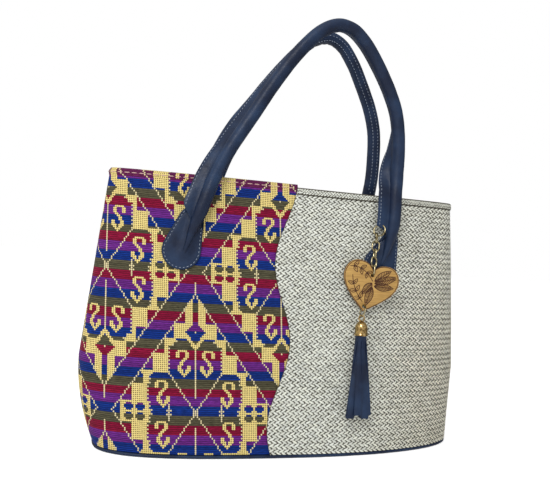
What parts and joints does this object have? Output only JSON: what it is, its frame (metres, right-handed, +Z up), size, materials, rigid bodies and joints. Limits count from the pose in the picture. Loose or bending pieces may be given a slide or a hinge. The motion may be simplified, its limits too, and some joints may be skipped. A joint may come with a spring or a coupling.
{
  "type": "woven bag",
  "caption": "Soft-sided woven handbag, part striped brocade cloth and part woven straw, with rolled leather handles, a piped base and a heart charm with a tassel.",
  "frame": {"origin": "centre of the base's underside, where the bag stands", "axes": "+Z up along the bag's height, +X to the right seen from the front, -Y out of the front wall that carries the charm"},
  "size_m": [0.3778, 0.1166, 0.4148],
  "materials": {
    "cloth": "striped brocade in crimson, purple, blue and olive with yellow figures",
    "straw": "pale woven paper straw",
    "leather": "navy, soft satin",
    "metal": "antique gold",
    "wood": "tan, with burnt lines and edge"
  },
  "bodies": {
    "root": {"textile_panel": "cloth", "straw_panel": "straw", "base_panel": "leather", "base_piping": "leather", "front_handle": "leather", "back_handle": "leather", "charm_ring": "metal", "chain_link_1": "metal", "chain_link_2": "metal", "chain_link_3": "metal", "chain_link_4": "metal", "chain_link_5": "metal", "heart_charm": "wood", "jump_ring": "metal", "tassel_cap": "metal", "tassel": "leather"}
  },
  "joints": []
}
